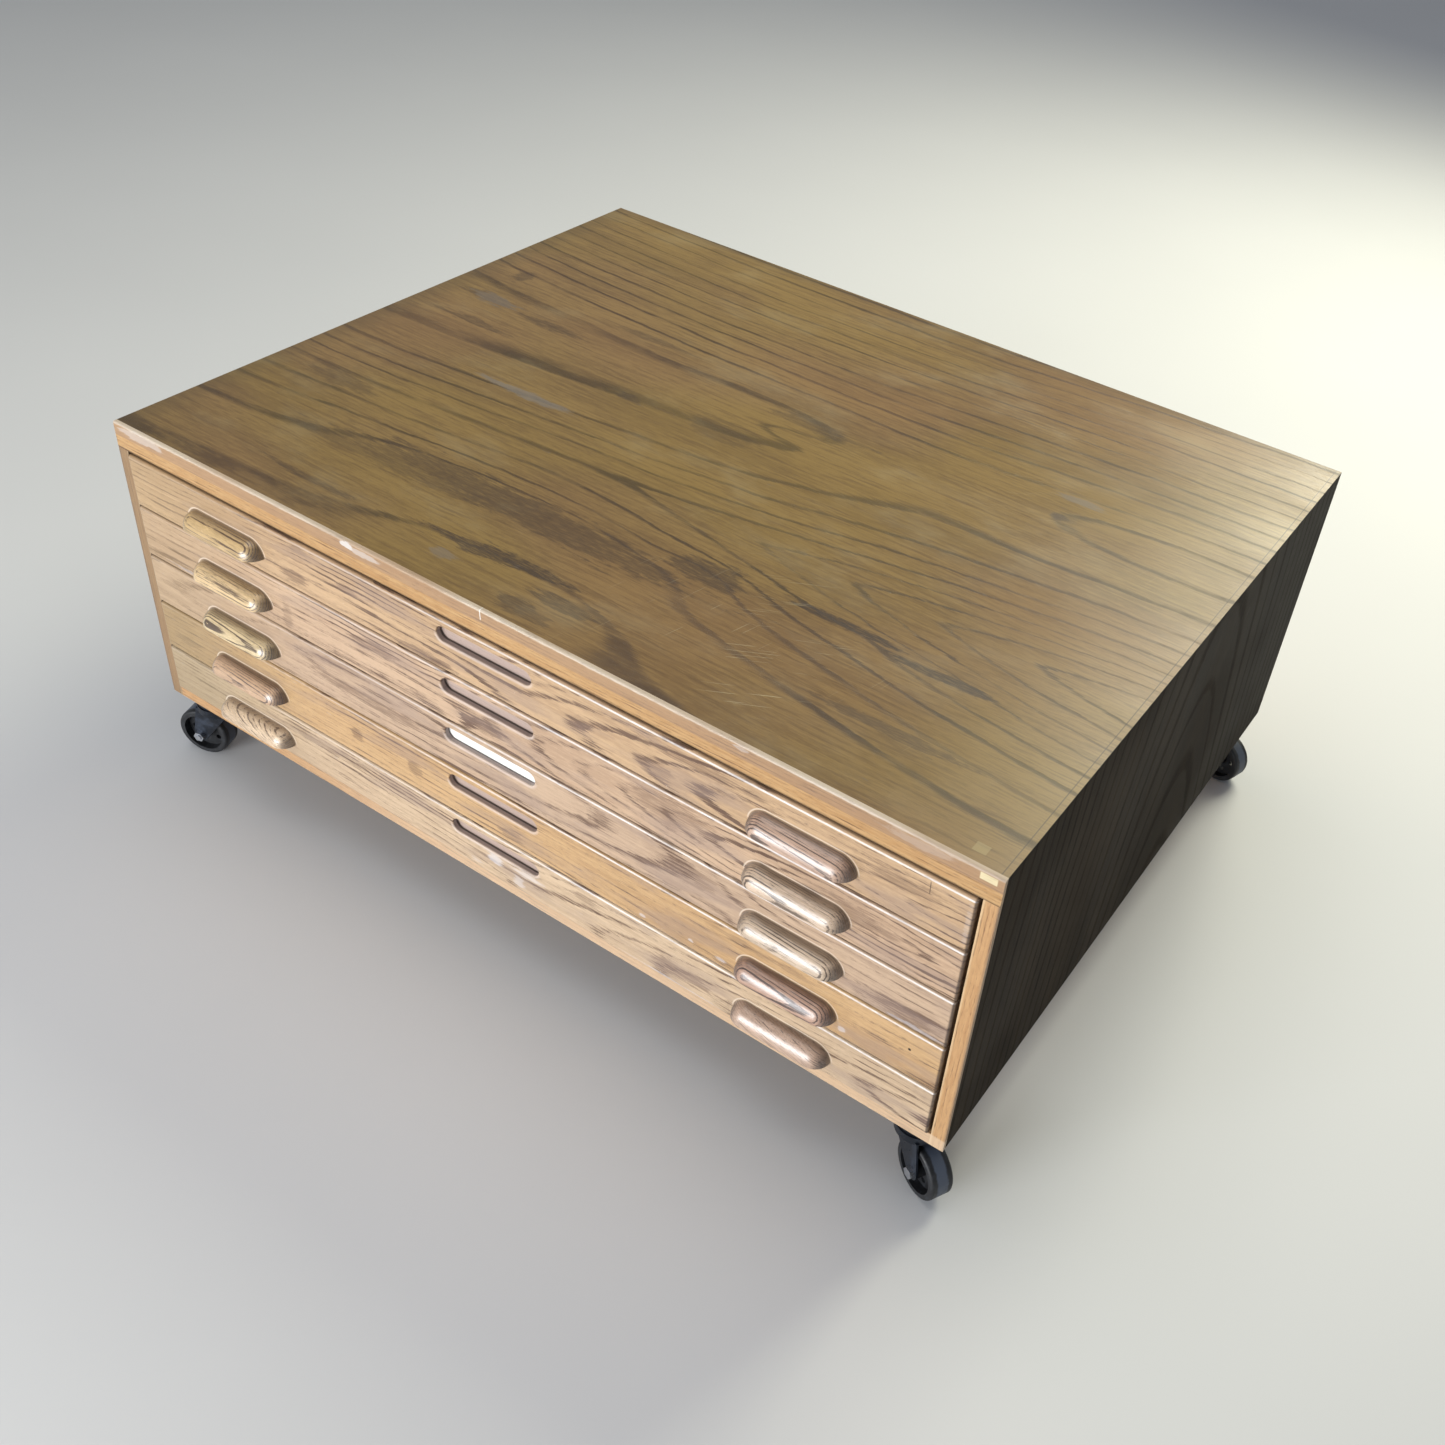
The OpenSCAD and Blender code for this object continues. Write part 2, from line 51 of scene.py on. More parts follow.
# ---- Node building ----
class Tree:
    """Short calls that add nodes to a node tree and return their output sockets."""

    def __init__(self, tree):
        self.tree = tree

    def node(self, kind, **settings):
        n = self.tree.nodes.new(kind)
        for name, value in settings.items():
            setattr(n, name, value)
        return n

    def put(self, socket, value):
        if isinstance(value, bpy.types.NodeSocket):
            self.tree.links.new(value, socket)
        elif value is not None:
            held = socket.default_value
            if hasattr(held, "__len__") and len(held) == 4 and len(value) == 3:
                value = (*value, 1)
            socket.default_value = value

    def math(self, operation, a, b=None, c=None, clamp=False):
        n = self.node("ShaderNodeMath", operation=operation, use_clamp=clamp)
        for socket, value in zip(n.inputs, (a, b, c)):
            self.put(socket, value)
        return n.outputs[0]

    def add(self, a, b, *more):
        total = self.math("ADD", a, b)
        for value in more:
            total = self.math("ADD", total, value)
        return total

    def sub(self, a, b):
        return self.math("SUBTRACT", a, b)

    def mul(self, a, b, *more):
        total = self.math("MULTIPLY", a, b)
        for value in more:
            total = self.math("MULTIPLY", total, value)
        return total

    def most(self, first, *more):
        for value in more:
            first = self.math("MAXIMUM", first, value)
        return first

    def vec(self, operation, a, b=None):
        n = self.node("ShaderNodeVectorMath", operation=operation)
        self.put(n.inputs[0], a)
        self.put(n.inputs[1], b)
        return n.outputs["Value" if operation in ("DOT_PRODUCT", "LENGTH") else "Vector"]

    def split(self, v):
        n = self.node("ShaderNodeSeparateXYZ")
        self.put(n.inputs[0], v)
        return n.outputs[0], n.outputs[1], n.outputs[2]

    def join(self, x, y, z):
        n = self.node("ShaderNodeCombineXYZ")
        for socket, value in zip(n.inputs, (x, y, z)):
            self.put(socket, value)
        return n.outputs[0]

    def noise(self, v, scale=1.0, detail=2.0, rough=0.5):
        n = self.node("ShaderNodeTexNoise")
        self.put(n.inputs["Vector"], v)
        self.put(n.inputs["Scale"], scale)
        self.put(n.inputs["Detail"], detail)
        self.put(n.inputs["Roughness"], rough)
        return n.outputs["Fac"]

    def white(self, value):
        n = self.node("ShaderNodeTexWhiteNoise", noise_dimensions="1D")
        self.put(n.inputs["W"], value)
        return n.outputs["Value"]

    def cells(self, v, scale=1.0):
        n = self.node("ShaderNodeTexVoronoi")
        self.put(n.inputs["Vector"], v)
        self.put(n.inputs["Scale"], scale)
        return n.outputs["Distance"]

    def span(self, value, low, high, to_low=0.0, to_high=1.0, smooth=True):
        """value from low..high mapped to to_low..to_high, held beyond both ends."""
        n = self.node("ShaderNodeMapRange", interpolation_type="SMOOTHSTEP" if smooth else "LINEAR")
        for name, v in zip(("Value", "From Min", "From Max", "To Min", "To Max"),
                           (value, low, high, to_low, to_high)):
            self.put(n.inputs[name], v)
        return n.outputs[0]

    def within(self, value, low, high, soft):
        """1 where value lies between low and high, with soft edges."""
        rise = self.span(value, low - soft, low + soft)
        fall = self.span(value, high - soft, high + soft, 1, 0)
        return self.mul(rise, fall)

    def mix(self, fac, a, b, blend="MIX"):
        n = self.node("ShaderNodeMix", data_type="RGBA", blend_type=blend)
        self.put(n.inputs[0], fac)
        self.put(n.inputs[6], a)
        self.put(n.inputs[7], b)
        return n.outputs[2]

    def coords(self):
        return self.node("ShaderNodeTexCoord").outputs["Object"]

    def scaled(self, v, x, y, z):
        return self.vec("MULTIPLY", v, (x, y, z))

    def swell(self, x, y, place, size):
        """A soft hill of height 1 at a place in the plane x, y; size is its half width each way."""
        d = self.vec("MULTIPLY", self.join(self.sub(x, place[0]), self.sub(y, place[1]), 0.0),
                     (1 / size[0], 1 / size[1], 0))
        return self.math("EXPONENT", self.mul(-1.0, self.vec("DOT_PRODUCT", d, d)))

    def marks(self, x, y, ragged, places):
        """Ragged patches; places hold (x, y, half width, half height, strength)."""
        total = 0.0
        for px, py, wide, high, strength in places:
            hill = self.add(self.swell(x, y, (px, py), (wide, high)), ragged)
            total = self.most(total, self.span(hill, 0.36, 0.62, 0.0, strength))
        return total

    def surface(self, color, roughness, height=None, distance=0.0002, **fixed):
        """Principled surface; fixed holds values set on the shader's own sockets."""
        out = self.node("ShaderNodeOutputMaterial")
        p = self.node("ShaderNodeBsdfPrincipled")
        self.put(p.inputs["Base Color"], color)
        self.put(p.inputs["Roughness"], roughness)
        for name, value in fixed.items():
            self.put(p.inputs[name.replace("_", " ")], value)
        if height is not None:
            bump = self.node("ShaderNodeBump")
            bump.inputs["Distance"].default_value = distance
            self.put(bump.inputs["Height"], height)
            self.put(p.inputs["Normal"], bump.outputs[0])
        self.tree.links.new(p.outputs[0], out.inputs[0])


def material(name):
    m = bpy.data.materials.new(name)
    m.use_nodes = True
    m.node_tree.nodes.clear()
    return m, Tree(m.node_tree)


def srgb(r, g, b):
    """Linear colour of an 8 bit sRGB one."""
    return tuple(((c / 255 + 0.055) / 1.055) ** 2.4 if c > 10 else c / 255 / 12.92 for c in (r, g, b))


# ---- Oak ----
def sockets(group, way, **kinds):
    """Adds a group's sockets; kinds holds the names of each kind's sockets, in order."""
    for kind, names in kinds.items():
        for name in names:
            group.interface.new_socket(name, in_out=way, socket_type=kind)


def seeded(t, v, seed):
    """The place v, moved so that each seed cuts its board from another part of the tree."""
    return t.vec("ADD", v, t.join(t.mul(seed, 3.7), t.mul(seed, 1.3), t.mul(seed, 2.1)))


def grain_group():
    """Bends the plane of a board the way its grain wavers.

    Vector: X along the grain, Y across, Z into the board.
    """
    g = bpy.data.node_groups.new("grain", "ShaderNodeTree")
    sockets(g, "INPUT", NodeSocketVector=("Vector",), NodeSocketFloat=("Seed", "Drift", "Waver", "Comb"))
    sockets(g, "OUTPUT", NodeSocketFloat=("Along", "Across"))
    t = Tree(g)
    i = t.node("NodeGroupInput").outputs
    at = seeded(t, i["Vector"], i["Seed"])
    u, across, _ = t.split(i["Vector"])
    drift = t.sub(t.noise(t.scaled(at, 1.6, 4.5, 4.5), detail=1.0), 0.5)
    waver = t.sub(t.noise(t.scaled(at, 9.0, 22.0, 22.0), detail=5.0, rough=0.62), 0.5)
    comb = t.sub(t.noise(t.scaled(at, 7.0, 520.0, 520.0), detail=3.0, rough=0.65), 0.5)
    o = t.node("NodeGroupOutput").inputs
    t.put(o["Along"], t.add(u, t.mul(i["Comb"], comb, 2.0)))
    t.put(o["Across"], t.add(across, t.mul(i["Drift"], drift, 2.0), t.mul(i["Waver"], waver, 2.0)))
    return g


def oak_group():
    """Oak colour and relief. Turn counts the growth rings: each begins with a dark line of open pores."""
    g = bpy.data.node_groups.new("oak", "ShaderNodeTree")
    sockets(g, "INPUT", NodeSocketVector=("Vector",),
            NodeSocketFloat=("Turn", "Seed", "Band", "Figure", "Solid", "Pores"),
            NodeSocketColor=("Light", "Middle", "Dark"))
    sockets(g, "OUTPUT", NodeSocketColor=("Color",), NodeSocketFloat=("Height", "Early"))
    t = Tree(g)
    i = t.node("NodeGroupInput").outputs
    seed = i["Seed"]
    at = seeded(t, i["Vector"], seed)
    index = t.math("FLOOR", i["Turn"])
    part = t.sub(i["Turn"], index)
    chance = t.white(t.add(index, t.mul(seed, 17.0)))
    width = t.mul(i["Band"], t.span(chance, 0, 1, 0.7, 1.35, smooth=False))
    early = t.mul(t.span(part, 0.0, 0.05), t.span(part, t.mul(width, 0.45), width, 1, 0))
    fibre = t.noise(t.scaled(at, 18.0, 950.0, 950.0), detail=2.0)
    patch = t.noise(t.scaled(at, 6.0, 22.0, 22.0), detail=4.0, rough=0.65)
    force = t.mul(t.span(chance, 0, 1, 0.62, 1.0, smooth=False), t.span(patch, 0.34, 0.62, 0.4, 1.0))
    dash = t.noise(t.scaled(at, 13.0, 340.0, 340.0), detail=3.0, rough=0.6)
    cover = t.mul(early, force, i["Figure"])
    hatch = t.span(t.add(dash, t.mul(cover, 0.36)), 0.61, 0.78)
    band = t.add(t.mul(hatch, t.sub(1.0, i["Solid"])), t.mul(cover, i["Solid"]))
    pore = t.span(t.noise(t.scaled(at, 95.0, 1900.0, 1900.0), detail=1.0), 0.56, 0.70)
    line = t.mul(pore, i["Pores"], t.add(0.3, t.mul(0.7, early)))
    streak = t.noise(t.scaled(at, 3.0, 190.0, 190.0), detail=4.0, rough=0.62)
    tone = t.noise(t.scaled(at, 2.2, 10.0, 10.0), detail=3.0)
    late = t.span(part, 0.4, 1.0, 0.0, 0.25)
    mottle = t.noise(t.scaled(at, 42.0, 260.0, 260.0), detail=3.0, rough=0.65)
    shade = t.add(t.mul(tone, 0.36), t.mul(streak, 0.36), t.mul(mottle, 0.34), t.mul(late, 0.12))
    color = t.mix(t.span(shade, 0.45, 0.64), i["Light"], i["Middle"])
    color = t.mix(t.math("ADD", band, line, clamp=True), color, i["Dark"])
    o = t.node("NodeGroupOutput").inputs
    t.put(o["Color"], color)
    t.put(o["Height"], t.sub(t.mul(fibre, 0.35), t.add(line, t.mul(band, 0.35))))
    t.put(o["Early"], early)
    return g


GRAIN = grain_group()
OAK = oak_group()


def grain(t, v, seed, drift, waver, comb):
    n = t.node("ShaderNodeGroup", node_tree=GRAIN)
    for name, value in zip(("Vector", "Seed", "Drift", "Waver", "Comb"), (v, seed, drift, waver, comb)):
        t.put(n.inputs[name], value)
    return n.outputs["Along"], n.outputs["Across"]


def oak(t, v, turn, **values):
    n = t.node("ShaderNodeGroup", node_tree=OAK)
    t.put(n.inputs["Vector"], v)
    t.put(n.inputs["Turn"], turn)
    t.put(n.inputs["Solid"], 0.25)
    for name, value in values.items():
        t.put(n.inputs[name], value)
    return n.outputs["Color"], n.outputs["Height"], n.outputs["Early"]


def rings(t, beside, below, ring):
    """Growth rings between a pith and a place that lies beside and below it; ring is their width."""
    away = t.math("SQRT", t.add(t.mul(beside, beside), t.mul(below, below)))
    return t.math("DIVIDE", away, ring)


def sawn(t, v, seed, pith, depth, taper, ring, drift=0.012, waver=0.003, comb=0.01):
    """Ring count of a board whose plane passes a pith at Y = pith, depth below and nearing by taper."""
    u, across = grain(t, v, seed, drift, waver, comb)
    into = t.split(v)[2]
    below = t.add(depth, into, t.mul(taper, u))
    return rings(t, t.sub(across, pith), below, ring)


def scratches(t, u, v, seed, angle, length=16.0, density=0.76, thin=620.0):
    """Sparse thin lines over the plane u, v, all at roughly one angle."""
    c, s = math.cos(angle), math.sin(angle)
    a = t.add(t.mul(u, c), t.mul(v, s))
    b = t.sub(t.mul(v, c), t.mul(u, s))
    sway = t.mul(0.004, t.noise(t.join(a, b, seed), scale=9.0))
    field = t.noise(t.join(t.mul(a, length), t.mul(t.add(b, sway), thin), seed), detail=0.0)
    region = t.noise(t.join(t.mul(a, 3.0), t.mul(b, 3.0), seed + 5.0), detail=2.0)
    return t.mul(t.span(field, density, density + 0.05), t.span(region, 0.52, 0.66))


# ---- The top's veneer ----
# Places on the top are (from its left end, from its rear edge) in metres.
TOP_HILLS = (  # knobs in the tree that the knife shaved: place, half widths, height in rings
    ((0.700, 0.462), (0.062, 0.013), -0.50),
    ((0.520, 0.850), (0.300, 0.040), 1.15),
    ((0.800, 0.812), (0.060, 0.030), 0.55),
    ((0.610, 0.985), (0.150, 0.036), 0.95),
    ((0.640, 0.985), (0.080, 0.016), -0.45),
    ((1.050, 0.795), (0.150, 0.016), 0.30),
    ((1.260, 0.388), (0.190, 0.050), 0.62),
    ((0.640, 0.455), (0.160, 0.070), 0.16),
)
TOP_SMUDGES = (  # dark stains: place, half widths, strength
    (0.090, 0.430, 0.060, 0.016, 0.50), (0.222, 0.440, 0.065, 0.011, 0.60),
    (0.130, 0.508, 0.075, 0.012, 0.55), (0.120, 0.765, 0.075, 0.020, 0.45),
    (0.540, 0.852, 0.290, 0.034, 0.62), (0.800, 0.812, 0.062, 0.026, 0.72),
    (0.380, 0.868, 0.150, 0.030, 0.45), (1.160, 0.924, 0.050, 0.010, 0.60),
    (0.690, 1.018, 0.050, 0.012, 0.50), (0.075, 0.335, 0.018, 0.022, 0.60),
    (0.450, 0.532, 0.022, 0.010, 0.60), (0.610, 0.520, 0.070, 0.030, 0.35),
    (1.080, 0.398, 0.014, 0.012, 0.75), (0.700, 0.420, 0.090, 0.014, 0.45),
    (0.990, 0.790, 0.090, 0.009, 1.0), (1.130, 0.802, 0.075, 0.010, 1.0),
    (0.550, 0.955, 0.080, 0.012, 0.85), (0.620, 0.942, 0.100, 0.010, 0.90),
    (0.715, 0.975, 0.050, 0.016, 0.70), (0.670, 1.010, 0.030, 0.014, 0.65),
    (0.300, 0.975, 0.090, 0.007, 0.60), (0.230, 0.885, 0.100, 0.012, 0.35),
    (1.130, 0.922, 0.110, 0.009, 0.60), (0.370, 0.365, 0.080, 0.010, 0.50),
)
TOP_HAZE = (  # grey bloom: place, half widths, strength
    (0.345, 0.625, 0.080, 0.012, 0.65), (1.090, 0.342, 0.040, 0.010, 0.60),
    (0.535, 0.988, 0.022, 0.010, 0.45), (0.100, 0.430, 0.050, 0.016, 0.40),
)
BACK_LINE, BACK_SOFT = 0.352, 0.026  # where the straight lines of the back end, and over what width
BACK_RING = 0.033  # distance from one straight line to the next
ARCH_AXIS = 0.716  # the arches' middle line
SADDLE, SADDLE_SIZE = (0.915, 0.455), (0.15, 0.11)  # bare place between the lines and the arches
MOST_RINGS = 20.35  # the count where neither the lines nor the arches lower it
WORN_CORNER, WORN_SIZE = (1.02, 0.96), (0.26, 0.16)  # front right part of the top, more scratched
TOP_CHIP = ((1.296, 1.312), (1.012, 1.026))  # a pale chip: from and to, each way
LIPPING = 0.008  # from the right end of the top, and from its upper face, to the dark line of the lipping


def top_turn(t, x, y):
    """Ring count over the top: straight lines at the back, a bare saddle, arches that open to the right."""
    lift = t.sub(t.mul(0.028, t.math("POWER", t.span(x, 0.0, 0.42, smooth=False), 0.6)),
                 t.mul(0.034, t.span(x, 0.65, 1.346)))
    back = t.math("DIVIDE", t.add(t.sub(BACK_LINE, y), lift), BACK_SOFT)
    slope = t.math("LOGARITHM", t.add(1.0, t.math("EXPONENT", back)), math.e)
    slope = t.mul(slope, BACK_SOFT / BACK_RING)
    axis = t.sub(y, t.add(ARCH_AXIS, t.span(x, 0.0, 0.6, 0.035, 0.0)))
    reach = t.mix(t.span(axis, -0.01, 0.01), t.join(t.span(x, 0.3, 1.3, 0.092, 0.138), 0, 0),
                  t.join(t.span(x, 0.6, 1.346, 0.135, 0.165), 0, 0))
    away = t.math("ABSOLUTE", t.math("DIVIDE", axis, t.split(reach)[0]))
    bowl = t.math("EXPONENT", t.mul(-1.0, t.math("POWER", away, 1.4)))
    arches = t.mul(t.span(x, 0.52, 1.6, 4.2, 9.95), bowl)
    saddle = t.mul(0.62, t.swell(x, y, SADDLE, SADDLE_SIZE))
    turn = t.sub(t.sub(t.sub(MOST_RINGS, slope), arches), saddle)
    for place, size, height in TOP_HILLS:
        turn = t.add(turn, t.mul(height, t.swell(x, y, place, size)))
    return turn


def top_material():
    m, t = material("oak_veneer_top")
    p = t.coords()
    x, y, _ = t.split(p)
    leaf = t.join(t.add(x, CASE_HALF), t.sub(REAR_Y, y), 0.0)
    u, v, _ = t.split(leaf)
    along, across = grain(t, leaf, 4.0, 0.013, 0.0062, 0.024)
    turn = top_turn(t, along, across)
    color, height, early = oak(
        t, leaf, turn, Seed=4.0, Band=0.20, Figure=1.25, Solid=0.72, Pores=0.50,
        Light=srgb(136, 110, 66), Middle=srgb(112, 88, 53), Dark=srgb(48, 35, 22))
    zones = t.noise(t.scaled(leaf, 1.5, 2.6, 1.0), scale=1.0, detail=2.0)
    color = t.mix(t.span(zones, 0.42, 0.66, 0.0, 0.40), color, srgb(142, 108, 70))
    color = t.mix(t.span(zones, 0.38, 0.55, 0.35, 0.0), color, srgb(142, 116, 52))
    faint = t.noise(t.scaled(t.join(along, across, 0.0), 9.0, 190.0, 1.0), detail=5.0, rough=0.75)
    color = t.mix(t.span(faint, 0.48, 0.64, 0.0, 0.52), color, srgb(92, 69, 42))
    margin = t.most(t.span(u, 0.05, 0.0), t.span(v, 0.03, 0.0))
    color = t.mix(t.mul(margin, 0.35), color, srgb(84, 70, 48))
    pits = t.noise(t.scaled(leaf, 60.0, 700.0, 1.0), detail=2.0)
    edge = t.mul(2.3, t.sub(t.noise(t.scaled(leaf, 14.0, 90.0, 1.0), detail=5.0, rough=0.75), 0.5))
    smudge = t.mul(t.marks(u, v, edge, TOP_SMUDGES), t.span(pits, 0.36, 0.56, 0.45, 1.0))
    color = t.mix(smudge, color, srgb(64, 49, 36))
    color = t.mix(t.marks(u, v, edge, TOP_HAZE), color, srgb(120, 112, 104))
    wear = t.noise(t.scaled(p, 5.0, 9.0, 9.0), detail=6.0, rough=0.62)
    color = t.mix(t.mul(0.16, t.span(wear, 0.52, 0.70)), color, srgb(160, 148, 116))
    corner = t.swell(u, v, WORN_CORNER, WORN_SIZE)
    nicks = t.mul(t.most(scratches(t, x, y, 3.0, 1.35), scratches(t, x, y, 7.5, 0.5)), t.add(0.2, corner))
    color = t.mix(t.mul(0.5, nicks), color, srgb(190, 176, 140))
    joint = t.within(x, CASE_HALF - LIPPING - 0.0005, CASE_HALF - LIPPING + 0.0005, 0.0004)
    color = t.mix(t.mul(0.75, joint), color, srgb(48, 36, 28))
    chip = t.mul(t.within(u, *TOP_CHIP[0], 0.0006), t.within(v, *TOP_CHIP[1], 0.0006))
    color = t.mix(t.mul(0.5, chip), color, srgb(168, 150, 104))
    rough = t.add(0.30, t.mul(0.14, t.span(wear, 0.4, 0.7)), t.mul(0.08, smudge), t.mul(0.06, early))
    t.surface(color, rough, t.sub(height, t.mul(0.5, nicks)), distance=0.00016, Specular_IOR_Level=0.55)
    return m


def side_material():
    m, t = material("dark_veneer_sides")
    p = t.coords()
    x, y, z = t.split(p)
    v = t.join(z, t.mul(y, t.math("SIGN", x)), 0.0)
    color, height, early = oak(
        t, v, sawn(t, v, 12.0, 0.1, 0.2, 0.15, 0.022, 0.03, 0.003, 0.02),
        Seed=12.0, Band=0.3, Figure=0.55, Pores=0.45,
        Light=srgb(54, 42, 28), Middle=srgb(39, 30, 21), Dark=srgb(22, 17, 13))
    darker_tone = t.span(t.noise(p, scale=3.0, detail=3.0), 0.4, 0.65)
    # Painted shade: the side panels darken towards the rear.
    rear = t.span(y, -0.3, 0.5, 0.0, 0.7)
    color = t.mix(t.most(t.mul(0.4, darker_tone), rear), color, srgb(30, 25, 19))
    nicks = t.most(scratches(t, y, z, 2.0, 0.2), scratches(t, y, z, 5.0, 1.4))
    color = t.mix(t.mul(0.16, nicks), color, srgb(150, 140, 128))
    lip = t.span(z, CASE_TOP - LIPPING - 0.0005, CASE_TOP - LIPPING + 0.0005)
    color = t.mix(t.mul(0.55, lip), color, srgb(30, 24, 22))
    rough = t.add(0.60, t.mul(0.1, early), t.mul(0.1, darker_tone))
    t.surface(color, rough, height, distance=0.0002, Specular_IOR_Level=0.06)
    return m


# Places on the front edge of the top are (from its left end, height above its lower edge) in metres.
BAND_SPOTS = (  # worn white places
    (0.055, 0.011, 0.050, 0.007, 0.35), (0.430, 0.013, 0.012, 0.005, 0.75),
    (0.462, 0.011, 0.026, 0.005, 0.40), (1.250, 0.010, 0.045, 0.006, 0.16),
    (1.020, 0.014, 0.014, 0.004, 0.30),
)
BAND_SCORE = (0.6475, 0.6488)  # a pale score across the edge: from and to
BAND_GONE = ((1.318, 1.338), (0.0065, 0.0155))  # where the veneer is missing: from and to, each way


def band_material():
    m, t = material("oak_edge_bands")
    p = t.coords()
    x, y, z = t.split(p)
    inner = CASE_HALF - PANEL
    below = t.span(z, CASE_TOP - PANEL - 0.0005, CASE_TOP - PANEL + 0.0005, 1, 0)
    stile = t.mul(t.span(t.math("ABSOLUTE", x), inner - 0.0005, inner), below)
    along = t.add(t.mul(stile, z), t.mul(t.sub(1.0, stile), x))
    across = t.add(t.mul(stile, x), t.mul(t.sub(1.0, stile), z))
    v = t.join(along, across, y)
    color, height, _ = oak(
        t, v, sawn(t, v, 21.0, 0.3, 0.3, 0.02, 0.0042), Seed=21.0, Band=0.45, Figure=0.55, Pores=0.7,
        Light=srgb(192, 150, 104), Middle=srgb(174, 130, 86), Dark=srgb(116, 82, 54))
    edge = t.mul(1.6, t.sub(t.noise(t.scaled(v, 40.0, 160.0, 160.0), detail=4.0, rough=0.65), 0.5))
    top_band = t.sub(1.0, below)
    color = t.mix(t.mul(0.62, top_band), color, srgb(150, 122, 96))
    up = t.sub(z, CASE_TOP - PANEL)
    rub = t.mul(t.span(t.add(up, t.mul(0.0030, edge)), PANEL - 0.0040, PANEL - 0.0016), top_band)
    patchy = t.span(t.noise(t.scaled(v, 3.0, 9.0, 9.0), detail=3.0), 0.36, 0.62, 0.22, 0.72)
    color = t.mix(t.mul(patchy, rub), color, srgb(212, 200, 182))
    left = t.add(x, CASE_HALF)
    spots = t.mul(t.marks(left, up, edge, BAND_SPOTS), top_band)
    color = t.mix(spots, color, srgb(214, 210, 206))
    mark = t.within(t.add(left, t.mul(0.06, t.sub(up, 0.01))), *BAND_SCORE, 0.0004)
    mark = t.mul(mark, top_band, t.span(up, 0.004, 0.006))
    color = t.mix(t.mul(0.9, mark), color, srgb(226, 222, 214))
    gone = t.mul(t.within(left, *BAND_GONE[0], 0.0008), t.within(up, *BAND_GONE[1], 0.0006))
    color = t.mix(gone, color, srgb(216, 200, 160))
    ragged = t.add(t.math("ABSOLUTE", x), t.mul(0.0012, edge))
    frame_edge = t.mul(stile, t.span(ragged, inner + 0.0034, inner + 0.001))
    color = t.mix(t.mul(0.5, frame_edge), color, srgb(222, 196, 156))
    shade = t.mul(t.span(x, -inner + 0.001, -inner), below, 0.6)
    color = t.mix(shade, color, srgb(112, 96, 74))
    dirt = t.mul(t.span(t.math("ABSOLUTE", x), CASE_HALF - 0.0035, CASE_HALF - 0.001), below)
    color = t.mix(t.mul(0.35, dirt), color, srgb(92, 84, 78))
    foot_top = BOTTOM_Z + PANEL
    foot = t.mul(t.span(z, foot_top + 0.002, foot_top - 0.002), t.span(x, -0.6, 0.0))
    color = t.mix(t.mul(0.4, foot), color, srgb(226, 206, 180))
    bruise = t.noise(t.scaled(v, 9.0, 60.0, 60.0), detail=5.0, rough=0.7)
    color = t.mix(t.span(bruise, 0.56, 0.72, 0.0, 0.4), color, srgb(118, 92, 70))
    t.surface(color, 0.42, height, distance=0.0002)
    return m


def rail_material():
    m, t = material("orange_rail")
    x, y, z = t.split(t.coords())
    v = t.join(x, z, y)
    color, height, _ = oak(
        t, v, sawn(t, v, 31.0, 0.4, 0.3, 0.01, 0.0026, 0.008, 0.001, 0.008), Seed=31.0, Band=0.5, Figure=0.5,
        Pores=0.7, Light=srgb(190, 152, 104), Middle=srgb(174, 132, 84), Dark=srgb(120, 84, 52))
    low = CASE_TOP - 2 * PANEL
    # Painted shade along the rail's lower edge, in the gap above the first front.
    color = t.mix(t.span(z, low + 0.003, low + 0.0005, 0.0, 0.7), color, srgb(70, 46, 28))
    t.surface(color, 0.40, height, distance=0.0002)
    return m


# ---- Drawer fronts ----
# Places on a front are (from the case's middle, from the board's middle) in metres.
FRONT_GRAIN = {  # an arch's tip, depth there, taper (above 0: opens to the right), ring, seed, figure
    1: ((0.142, -0.011), 0.054, 0.100, 0.0090, 41.0, 0.85),
    2: ((0.058, 0.002), 0.056, 0.118, 0.0078, 43.0, 0.85),
    3: ((0.257, 0.016), 0.052, -0.110, 0.0130, 46.0, 0.75),
    4: ((0.500, -0.045), 0.080, 0.050, 0.0120, 49.0, 0.55),
    5: ((0.170, -0.018), 0.060, 0.085, 0.0086, 52.0, 0.75),
}
FRONT_TINTS = {  # light and middle tone
    1: ((194, 162, 126), (172, 141, 109)),
    2: ((196, 166, 137), (175, 145, 118)),
    3: ((193, 165, 138), (172, 145, 121)),
    4: ((198, 162, 118), (178, 142, 101)),
    5: ((206, 180, 149), (186, 160, 131)),
}
